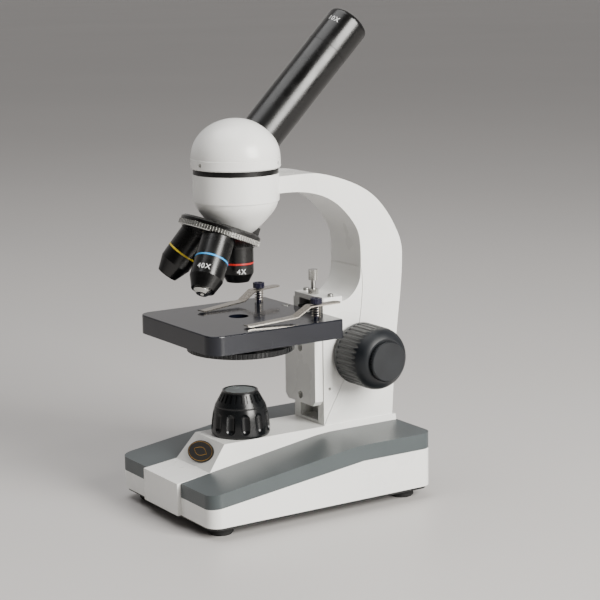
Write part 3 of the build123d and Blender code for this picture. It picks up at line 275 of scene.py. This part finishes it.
def stage_lacquer(settings):
    """Gloss black lacquer on the stage: mirror-like, with hair scratches where slides have been pushed."""
    m = new_material("gloss_black_lacquer_with_hair_scratches")
    where = add(m, "ShaderNodeTexCoord")
    # real hair scratches are narrower: these are drawn as wide as they need to show
    swept = add(m, "ShaderNodeMapping",
                {"Vector": where.outputs["Object"], "Scale": (per_metre(30), per_metre(0.35), 1.0),
                 "Rotation": (0.0, 0.0, 0.35)})
    hair = add(m, "ShaderNodeTexNoise", {"Vector": swept.outputs["Vector"], "Scale": 1.0, "Detail": 3.0})
    line = add(m, "ShaderNodeMapRange", {"Value": hair.outputs["Fac"], "From Min": 0.62, "From Max": 0.72})
    cloud = add(m, "ShaderNodeTexNoise",
                {"Vector": where.outputs["Object"], "Scale": per_metre(22), "Detail": 5.0})
    base_rough = add(m, "ShaderNodeMapRange",
                     {"Value": cloud.outputs["Fac"], "From Min": 0.3, "From Max": 0.7, "To Min": 0.07,
                      "To Max": 0.16})
    rough = add(m, "ShaderNodeMath", {0: line.outputs["Result"], 1: 0.16, 2: base_rough.outputs["Result"]},
                operation="MULTIPLY_ADD")
    bump = add(m, "ShaderNodeBump", {"Height": hair.outputs["Fac"], "Strength": 0.03, "Distance": 0.0001})
    base = settings.lacquer
    tone = add(m, "ShaderNodeValToRGB", {"Fac": cloud.outputs["Fac"]},
               stops=[(0.3, tuple(base)), (0.75, tuple(c * 1.5 + 0.0015 for c in base))])
    shader = add(m, "ShaderNodeBsdfPrincipled",
                 {"Base Color": tone.outputs["Color"], "Roughness": rough.outputs["Value"],
                  "Normal": bump.outputs["Normal"], "IOR": 1.52})
    return finish_material(m, shader.outputs["BSDF"])


def black_anodising(settings):
    """Black anodised aluminium, turned on a lathe: satin, with the faintest of grain."""
    m = new_material("black_anodised_turned_aluminium")
    where = add(m, "ShaderNodeTexCoord")
    # the real grain is finer than this: it is drawn as coarse as it needs to show
    grain = add(m, "ShaderNodeTexNoise",
                {"Vector": where.outputs["Object"], "Scale": per_metre(0.5), "Detail": 3.0})
    cloud = add(m, "ShaderNodeTexNoise",
                {"Vector": where.outputs["Object"], "Scale": per_metre(14), "Detail": 5.0})
    rough = add(m, "ShaderNodeMapRange", {"Value": cloud.outputs["Fac"], "From Min": 0.3, "From Max": 0.7,
                                          "To Min": 0.2, "To Max": 0.32})
    base = settings.tube
    tone = add(m, "ShaderNodeValToRGB", {"Fac": cloud.outputs["Fac"]},
               stops=[(0.3, tuple(base)), (0.8, tuple(c * 1.7 for c in base))])
    bump = add(m, "ShaderNodeBump", {"Height": grain.outputs["Fac"], "Strength": 0.05, "Distance": 0.00005})
    shader = add(m, "ShaderNodeBsdfPrincipled",
                 {"Base Color": tone.outputs["Color"], "Roughness": rough.outputs["Result"],
                  "Normal": bump.outputs["Normal"], "IOR": 1.5})
    return finish_material(m, shader.outputs["BSDF"])


def moulded_plastic(name, base, roughness, grain_mm, relief):
    """Injection-moulded plastic: even colour, with gloss and grain that vary a little over the surface."""
    m = new_material(name)
    low, high = roughness
    where = add(m, "ShaderNodeTexCoord")
    # the real grain is finer than this: it is drawn as coarse as it needs to show
    grain = add(m, "ShaderNodeTexNoise",
                {"Vector": where.outputs["Object"], "Scale": per_metre(grain_mm), "Detail": 4.0})
    cloud = add(m, "ShaderNodeTexNoise",
                {"Vector": where.outputs["Object"], "Scale": per_metre(12), "Detail": 4.0})
    tone = add(m, "ShaderNodeValToRGB", {"Fac": cloud.outputs["Fac"]},
               stops=[(0.3, tuple(c * 0.85 for c in base)), (0.75, tuple(c * 1.25 for c in base))])
    rough = add(m, "ShaderNodeMapRange", {"Value": cloud.outputs["Fac"], "From Min": 0.3, "From Max": 0.7,
                                          "To Min": low, "To Max": high})
    bump = add(m, "ShaderNodeBump",
               {"Height": grain.outputs["Fac"], "Strength": relief, "Distance": 0.0001})
    shader = add(m, "ShaderNodeBsdfPrincipled",
                 {"Base Color": tone.outputs["Color"], "Roughness": rough.outputs["Result"],
                  "Normal": bump.outputs["Normal"], "IOR": 1.49})
    return finish_material(m, shader.outputs["BSDF"])


def bright_metal(name, base, roughness, brushed_mm=(0.2, 0.2, 6.0)):
    """Machined or rolled metal: bright, with fine lines left by the tool."""
    m = new_material(name)
    low, high = roughness
    where = add(m, "ShaderNodeTexCoord")
    # the real tool lines are finer than these: they are drawn as coarse as they need to show
    drawn = add(m, "ShaderNodeMapping", {"Vector": where.outputs["Object"],
                                         "Scale": tuple(per_metre(size) for size in brushed_mm)})
    lines = add(m, "ShaderNodeTexNoise", {"Vector": drawn.outputs["Vector"], "Scale": 1.0, "Detail": 3.0})
    rough = add(m, "ShaderNodeMapRange", {"Value": lines.outputs["Fac"], "From Min": 0.3, "From Max": 0.7,
                                          "To Min": low, "To Max": high})
    tone = add(m, "ShaderNodeValToRGB", {"Fac": lines.outputs["Fac"]},
               stops=[(0.3, tuple(c * 0.86 for c in base)), (0.7, tuple(base))])
    bump = add(m, "ShaderNodeBump", {"Height": lines.outputs["Fac"], "Strength": 0.06, "Distance": 0.00005})
    shader = add(m, "ShaderNodeBsdfPrincipled",
                 {"Base Color": tone.outputs["Color"], "Metallic": 1.0,
                  "Roughness": rough.outputs["Result"], "Normal": bump.outputs["Normal"]})
    return finish_material(m, shader.outputs["BSDF"])


def turret_plating():
    """Nickel-plated rim round a black cone: bright only where the rim was turned after blacking."""
    m = new_material("nickel_rim_round_blackened_brass_cone")
    turret = NODES["turret"]
    into = turret.matrix_world.inverted()
    where = add(m, "ShaderNodeTexCoord")
    arm = add(m, "ShaderNodeVectorMath",
              {0: where.outputs["Object"], 1: into @ TURRET_POINT}, operation="SUBTRACT")
    across = add(m, "ShaderNodeVectorMath", {0: arm.outputs["Vector"], 1: into.to_3x3() @ TURRET_AXIS},
                 operation="CROSS_PRODUCT")
    reach = add(m, "ShaderNodeVectorMath", {0: across.outputs["Vector"]}, operation="LENGTH")
    plated = add(m, "ShaderNodeMapRange",
                 {"Value": reach.outputs["Value"], "From Min": RIM_EDGE[0], "From Max": RIM_EDGE[1]})
    # the real turning marks are finer than this grain: it is drawn as coarse as it needs to show
    grain = add(m, "ShaderNodeTexNoise",
                {"Vector": where.outputs["Object"], "Scale": per_metre(0.4), "Detail": 3.0})
    rough = add(m, "ShaderNodeMapRange", {"Value": grain.outputs["Fac"], "From Min": 0.3, "From Max": 0.7,
                                          "To Min": 0.14, "To Max": 0.28})
    tone = add(m, "ShaderNodeValToRGB", {"Fac": plated.outputs["Result"]},
               stops=[(0.2, srgb("#0B0B0B")), (0.8, srgb("#C9C9C5"))])
    bump = add(m, "ShaderNodeBump", {"Height": grain.outputs["Fac"], "Strength": 0.05, "Distance": 0.00005})
    shader = add(m, "ShaderNodeBsdfPrincipled",
                 {"Base Color": tone.outputs["Color"], "Metallic": plated.outputs["Result"],
                  "Roughness": rough.outputs["Result"], "Normal": bump.outputs["Normal"]})
    return finish_material(m, shader.outputs["BSDF"])


def optical_glass(name, rough):
    """Polished or ground optical glass."""
    m = new_material(name)
    where = add(m, "ShaderNodeTexCoord")
    # the real grain is finer than this: it is drawn as coarse as it needs to show
    grain = add(m, "ShaderNodeTexNoise",
                {"Vector": where.outputs["Object"], "Scale": per_metre(0.3), "Detail": 2.0})
    spread = add(m, "ShaderNodeMapRange",
                 {"Value": grain.outputs["Fac"], "To Min": rough, "To Max": rough + 0.04})
    shader = add(m, "ShaderNodeBsdfPrincipled",
                 {"Base Color": (*srgb("#DCE6E8"), 1), "Roughness": spread.outputs["Result"], "IOR": 1.52,
                  "Transmission Weight": 0.9})
    return finish_material(m, shader.outputs["BSDF"])


def soft_rubber():
    """Black moulded rubber: matt, a little greyer in patches."""
    return moulded_plastic("moulded_black_rubber", srgb("#141414"), (0.7, 0.9), grain_mm=0.4, relief=0.3)


def circuit_board():
    """Green solder mask over glass fibre: an even green with a soft shine and a faint grain."""
    return moulded_plastic("green_solder_mask_on_glass_fibre", srgb("#0F5A2C"), (0.3, 0.5), grain_mm=0.8,
                           relief=0.2)


def filled_paint(name, base, roughness=(0.3, 0.4)):
    """Paint wiped into a cut groove or letter: flat even colour with a soft shine."""
    return moulded_plastic(name, base, roughness, grain_mm=0.5, relief=0.05)


def make_materials(s):
    """Every finish used on the microscope, by a short name."""
    return {
        "enamel": stoved_enamel(s),
        "cover": cover_paint(s),
        "lacquer": stage_lacquer(s),
        "tube": black_anodising(s),
        # moulded in a polished tool: nearly sharp reflections
        "moulding": moulded_plastic("gloss_moulded_black_abs", s.moulding, (0.2, 0.34), grain_mm=0.8,
                                    relief=0.06),
        # moulded in a spark-textured tool: a broad soft shine that holds no sharp reflection
        "knob": moulded_plastic("satin_moulded_blue_black_abs", s.knob, (0.36, 0.52), grain_mm=0.35,
                                relief=0.22),
        # a waxy, slippery plastic: soft shine on a smooth surface
        "post": moulded_plastic("moulded_blue_black_acetal", s.post, (0.25, 0.4), grain_mm=0.5,
                                relief=0.08),
        "rubber": soft_rubber(),
        "board": circuit_board(),
        "turret": turret_plating(),
        # plated over turned brass: bright, with faint turning lines
        "plate": bright_metal("nickel_plated_brass_rim", srgb("#C9C9C5"), (0.14, 0.3), (0.3, 0.3, 3.0)),
        # rolled strip: warm grey, with straight lines along the roll
        "spring": bright_metal("rolled_spring_steel", srgb("#C8C2B8"), (0.16, 0.34), (0.25, 5.0, 0.25)),
        # dull zinc over steel: softer highlights than the nickel
        "steel": bright_metal("zinc_plated_steel_screws", srgb("#A9A9A6"), (0.25, 0.42)),
        # pressed and sintered powder: brown, almost matt
        "bronze": bright_metal("sintered_bronze", srgb("#9C7444"), (0.4, 0.6)),
        # sprayed and air-dried: plain black with a low shine
        "sheet": moulded_plastic("black_painted_sheet_steel", srgb("#0C0C0D"), (0.4, 0.6), grain_mm=0.5,
                                 relief=0.2),
        # ground on its face, so that it glows evenly and nothing behind it is sharp
        "frosted": optical_glass("ground_field_glass", 0.45),
        # polished, so that it is clear and shows sharp reflections
        "glass": optical_glass("polished_crown_glass", 0.02),
        # cast round the chip: clear, a little softer than glass
        "led": optical_glass("clear_cast_resin", 0.08),
        "low_band": filled_paint("red_filled_band", s.low_band),
        "mid_band": filled_paint("yellow_filled_band", s.mid_band),
        "high_band": filled_paint("blue_filled_band", s.high_band),
        "mark": filled_paint("white_filled_engraving", srgb("#DADADA"), (0.4, 0.5)),
        # printed film under a clear lacquer: dark and glossy
        "badge": moulded_plastic("dark_printed_badge", srgb("#17140F"), (0.12, 0.2), grain_mm=1.0,
                                 relief=0.03),
        # foil pressed on with heat: a bright warm metal on the raised strips alone
        "gold": bright_metal("gold_foil_print", s.gold, (0.22, 0.36)),
    }


FINISH_OF = {
    "enamel": ["base_body", "arm", "focus_housing", "stop_plate", "carrier", "nose_bowl", "head_collar",
               "head_dome"],
    "cover": ["left_wing_cover", "right_wing_cover"],
    "lacquer": ["stage"],
    "tube": ["eyepiece_tube", "eyepiece", "objective_4x", "objective_10x", "objective_40x",
             "nosepiece_plate", "head_ring"],
    "moulding": ["lamp_housing", "lamp_collar", "diaphragm_disc", "dc_socket", "switch_housing",
                 "switch_rocker", "wiring"],
    "knob": ["left_coarse_knob", "right_coarse_knob", "left_fine_knob", "right_fine_knob"],
    "post": ["clip_posts"],
    "rubber": ["rubber_feet"],
    "board": ["led_board", "driver_board"],
    "turret": ["turret"],
    "plate": ["sprung_nose", "stop_screw", "lock_nut", "detent_ball"],
    "spring": ["left_clip", "right_clip", "clip_springs"],
    "steel": ["frame_screws", "stage_screws", "turret_screw", "diaphragm_screw", "head_screws",
              "coarse_shaft", "fine_shaft", "rack"],
    "bronze": ["shaft_bushes"],
    "sheet": ["bottom_plate", "slide", "prism_holder"],
    "frosted": ["field_lens"],
    "glass": ["condenser_lens", "objective_lenses", "eyepiece_lenses", "prism"],
    "led": ["led"],
    "badge": ["badge"],
}


# ------------------------------------------------------------------ objectives
def objective_axis(turn):
    """Direction from the apex down the objective that stands `turn` degrees round the turret."""
    return Matrix.Rotation(math.radians(turn), 3, -TURRET_AXIS) @ Vector((0, 0, -1))


def colour_band(name, axis, radius, distance, width, material):
    """Thin filled band standing a hair proud of the barrel."""
    root, proud = radius - BAND_SUNK, radius + BAND_PROUD
    half, flat = width / 2, width * 0.3
    outline = [(root, distance - half), (radius, distance - half), (proud, distance - flat),
               (proud, distance + flat), (radius, distance + half), (root, distance + half)]
    return lathe(name, outline, APEX, axis, material)


def wrapped_mark(name, text, height, origin, axis, up_sign, radius, distance, towards, depth, material):
    """Filled engraving laid round a cylinder; up_sign is -1 where the letters' tops point down the axis."""
    half_thick = 0.5
    curve = bpy.data.curves.new(name, "FONT")
    curve.body = text
    curve.size = 1.0
    curve.align_x = "CENTER"
    curve.align_y = "CENTER"
    curve.extrude = half_thick
    curve.space_character = 1.15
    curve.resolution_u = 4
    letters = bpy.data.objects.new(name, curve)
    mesh = bpy.data.meshes.new_from_object(letters)
    bpy.data.objects.remove(letters)
    bm = bmesh.new()
    bm.from_mesh(mesh)
    bpy.data.meshes.remove(mesh)
    bmesh.ops.subdivide_edges(bm, edges=[e for e in bm.edges if e.calc_length() > 0.25], cuts=2)
    place = Matrix.Translation(origin) @ basis_about(axis, towards)
    scale = height / CAPITAL_HEIGHT
    for vert in bm.verts:
        angle = up_sign * vert.co.x * scale / radius
        out = radius + depth * (vert.co.z + half_thick - MARK_SUNK)
        along = distance + up_sign * vert.co.y * scale
        vert.co = place @ Vector((out * math.cos(angle), out * math.sin(angle), along))
    return mesh_object(name, bm, material)


# ------------------------------------------------------------------ badge
def badge_frame():
    """Frame on the badge's face: X across the foot, Y up the slope, Z out of the plate."""
    lean = math.radians(BADGE_LEAN)
    out = Vector((0, -math.sin(lean), math.cos(lean)))
    across = Vector((1, 0, 0))
    turn = Matrix((across, out.cross(across), out)).transposed().to_4x4()
    return Matrix.Translation(middle("badge") + out * BADGE_FACE) @ turn


def ellipse(half_wide, half_high, steps=72):
    """Closed ring of points on the badge's face, in millimetres."""
    turns = [2 * math.pi * k / steps for k in range(steps)]
    return [(half_wide * math.cos(t), half_high * math.sin(t)) for t in turns]


def lens_sign(half_wide, half_high, steps=24):
    """Outline of a lens seen from its edge: two arcs meeting in points."""
    upper = [(half_wide * (1 - 2 * k / steps), half_high * math.sin(math.pi * k / steps))
             for k in range(steps)]
    return upper + [(-x, -y) for x, y in upper]


def badge_strip(name, outline, width, material):
    """Raised strip that follows a closed outline on the badge's face."""
    place = badge_frame()
    count = len(outline)
    bm = bmesh.new()
    rings = []
    for k, (x, y) in enumerate(outline):
        before, after = outline[k - 1], outline[(k + 1) % count]
        along = (Vector(after) - Vector(before)).normalized()
        inward = Vector((-along.y, along.x)) * width / 2
        rings.append([bm.verts.new(place @ (Vector((x + inward.x * a, y + inward.y * a, b)) * MM))
                      for a, b in STRIP_SECTION])
    for k in range(count):
        here, there = rings[k], rings[(k + 1) % count]
        for j in range(len(here)):
            m = (j + 1) % len(here)
            bm.faces.new((here[j], here[m], there[m], there[j]))
    return mesh_object(name, bm, material)


# ------------------------------------------------------------------ operators
FINISHES = {}


class MICROSCOPE_OT_finishes(bpy.types.Operator):
    """Give every CAD piece the finish that its real material has"""
    bl_idname = "microscope.finishes"
    bl_label = "Apply finishes"

    def execute(self, context):
        FINISHES.update(make_materials(context.scene.microscope_finishes))
        for finish, names in FINISH_OF.items():
            for name in names:
                materials = NODES[name].data.materials
                materials.clear()
                materials.append(FINISHES[finish])
        left = set(NODES) - {name for names in FINISH_OF.values() for name in names}
        if left:
            raise RuntimeError(f"no finish for {sorted(left)}")
        return {"FINISHED"}


class MICROSCOPE_OT_bands(bpy.types.Operator):
    """Add the colour band and power mark of each objective"""
    bl_idname = "microscope.bands"
    bl_label = "Objective bands and marks"

    def execute(self, context):
        detail = context.scene.microscope_details
        for name, turn, radius, band, mark, finish, text, aside in OBJECTIVES:
            axis = objective_axis(turn)
            towards = Matrix.Rotation(math.radians(aside), 3, "Z") @ HEAD_FRONT
            ring = colour_band(f"{name}_power_band", axis, radius * MM, band * MM, detail.band_width,
                               FINISHES[finish])
            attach(ring, "nosepiece")
            letters = wrapped_mark(f"{name}_power_mark", text, detail.mark_height, APEX, axis, -1,
                                   radius * MM, mark * MM, towards, detail.mark_depth, FINISHES["mark"])
            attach(letters, "nosepiece")
        return {"FINISHED"}


class MICROSCOPE_OT_eyepiece_mark(bpy.types.Operator):
    """Add the power mark that runs round the eyepiece's cap"""
    bl_idname = "microscope.eyepiece_mark"
    bl_label = "Eyepiece mark"

    def execute(self, context):
        detail = context.scene.microscope_details
        towards = Matrix.Rotation(math.radians(EYEPIECE_MARK_TURN), 3, "Z") @ HEAD_FRONT
        letters = wrapped_mark("eyepiece_power_mark", "10X", detail.mark_height, TUBE_START, TUBE_AXIS, 1,
                               TUBE_RADIUS, EYEPIECE_MARK, towards, detail.mark_depth, FINISHES["mark"])
        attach(letters, "eyepiece")
        return {"FINISHED"}


class MICROSCOPE_OT_badge(bpy.types.Operator):
    """Add the raised gold rim and the lens sign on the foot's oval plate"""
    bl_idname = "microscope.badge"
    bl_label = "Badge"

    def execute(self, context):
        rim = badge_strip("badge_gold_rim", ellipse(*BADGE_RIM), STRIP_WIDTH, FINISHES["gold"])
        sign = badge_strip("badge_lens_sign", lens_sign(*LENS_SIGN), STRIP_WIDTH, FINISHES["gold"])
        for piece in (rim, sign):
            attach(piece, "base")
        return {"FINISHED"}


class MICROSCOPE_OT_studio(bpy.types.Operator):
    """Set a pale floor, soft studio light and the camera"""
    bl_idname = "microscope.studio"
    bl_label = "Studio"

    def execute(self, context):
        studio = context.scene.microscope_studio
        lay_floor(studio)
        light_room(studio)
        place_camera()
        return {"FINISHED"}


# ------------------------------------------------------------------ studio
def lay_floor(studio):
    """Wide pale sheet under the microscope."""
    m = new_material("pale_studio_floor")
    where = add(m, "ShaderNodeTexCoord")
    cloud = add(m, "ShaderNodeTexNoise", {"Vector": where.outputs["Object"], "Scale": 1.2, "Detail": 5.0})
    tone = add(m, "ShaderNodeValToRGB", {"Fac": cloud.outputs["Fac"]},
               stops=[(0.3, tuple(c * 0.94 for c in studio.floor)), (0.7, tuple(studio.floor))])
    shader = add(m, "ShaderNodeBsdfPrincipled", {"Base Color": tone.outputs["Color"], "Roughness": 0.42})
    finish_material(m, shader.outputs["BSDF"])
    bm = bmesh.new()
    bmesh.ops.create_circle(bm, cap_ends=True, radius=FLOOR_RADIUS, segments=96)
    floor = mesh_object("studio_floor", bm, m)


def soft_light(name, power, size, place, aim, tone):
    """Large soft area light at a place, aimed at a point."""
    data = bpy.data.lights.new(name, "AREA")
    data.shape = "RECTANGLE"
    data.size, data.size_y = size
    data.energy = power
    data.color = srgb(tone)
    lamp = bpy.data.objects.new(name, data)
    lamp.location = place
    lamp.rotation_euler = (Vector(aim) - Vector(place)).to_track_quat("-Z", "Y").to_euler()
    bpy.context.scene.collection.objects.link(lamp)


def light_room(studio):
    """A lit wall behind, a dim room in front, one large side light and one overhead."""
    world = bpy.data.worlds.new("studio_surround")
    bpy.context.scene.world = world
    world.use_nodes = True
    world.node_tree.nodes.clear()
    way = add(world, "ShaderNodeTexCoord")
    facing = add(world, "ShaderNodeVectorMath", {0: way.outputs["Generated"], 1: -camera_back()},
                 operation="DOT_PRODUCT")
    part = add(world, "ShaderNodeMapRange",
               {"Value": facing.outputs["Value"], "From Min": -0.7, "From Max": 0.8})
    tone = add(world, "ShaderNodeValToRGB", {"Fac": part.outputs["Result"]},
               stops=[(0.15, tuple(studio.before)), (0.95, tuple(studio.behind))])
    back = add(world, "ShaderNodeBackground", {"Color": tone.outputs["Color"], "Strength": 1.0})
    add(world, "ShaderNodeOutputWorld", {"Surface": back.outputs["Background"]})
    soft_light("key_softbox", studio.key_power, size=(0.7, 0.9), place=(1.35, 0.35, 0.75),
               aim=(0, 0, 0.14), tone="#FFFDF8")
    soft_light("overhead_softbox", studio.fill_power, size=(1.2, 1.2), place=(-0.2, -0.3, 1.6),
               aim=(0, 0, 0.1), tone="#FFFFFF")


def camera_back():
    """Direction from the microscope to the camera."""
    azimuth, elevation = math.radians(CAMERA_AZIMUTH), math.radians(CAMERA_ELEVATION)
    return Vector((math.sin(azimuth) * math.cos(elevation), -math.cos(azimuth) * math.cos(elevation),
                   math.sin(elevation)))


def place_camera():
    """Camera at the front right, a little above the stage, looking at the middle of the microscope."""
    azimuth = math.radians(CAMERA_AZIMUTH)
    back = camera_back()
    right = Vector((math.cos(azimuth), math.sin(azimuth), 0))
    up = back.cross(right)
    turn = Matrix((right, up, back)).transposed() @ Matrix.Rotation(math.radians(CAMERA_ROLL), 3, "Z")
    data = bpy.data.cameras.new("studio_camera")
    data.lens = CAMERA_LENS
    data.sensor_width = SENSOR_WIDTH
    camera = bpy.data.objects.new("studio_camera", data)
    camera.matrix_world = Matrix.Translation(CAMERA_AIM + back * CAMERA_DISTANCE) @ turn.to_4x4()
    bpy.context.scene.collection.objects.link(camera)
    bpy.context.scene.camera = camera


# ------------------------------------------------------------------ panel and registration
OPERATORS = (MICROSCOPE_OT_finishes, MICROSCOPE_OT_bands, MICROSCOPE_OT_eyepiece_mark, MICROSCOPE_OT_badge,
             MICROSCOPE_OT_studio)


class MICROSCOPE_PT_sidebar(bpy.types.Panel):
    """Shows a button for each of the microscope's operators in the 3D view's sidebar"""
    bl_label = "Microscope"
    bl_idname = "MICROSCOPE_PT_sidebar"
    bl_space_type = "VIEW_3D"
    bl_region_type = "UI"
    bl_category = "Microscope"

    def draw(self, context):
        for operator in OPERATORS:
            self.layout.operator(operator.bl_idname)


SETTINGS = {"microscope_finishes": FinishSettings, "microscope_details": DetailSettings,
            "microscope_studio": StudioSettings}


def register():
    """Registers the settings, the operators and the panel."""
    for group in SETTINGS.values():
        bpy.utils.register_class(group)
    for name, group in SETTINGS.items():
        setattr(bpy.types.Scene, name, PointerProperty(type=group))
    for operator in OPERATORS:
        bpy.utils.register_class(operator)
    bpy.utils.register_class(MICROSCOPE_PT_sidebar)


def unregister():
    """Takes everything that register added away again."""
    bpy.utils.unregister_class(MICROSCOPE_PT_sidebar)
    for operator in reversed(OPERATORS):
        bpy.utils.unregister_class(operator)
    for name, group in SETTINGS.items():
        delattr(bpy.types.Scene, name)
        bpy.utils.unregister_class(group)


def main():
    """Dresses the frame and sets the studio."""
    register()
    bpy.ops.microscope.finishes()
    bpy.ops.microscope.bands()
    bpy.ops.microscope.eyepiece_mark()
    bpy.ops.microscope.badge()
    bpy.ops.microscope.studio()


if __name__ == "__main__":
    main()
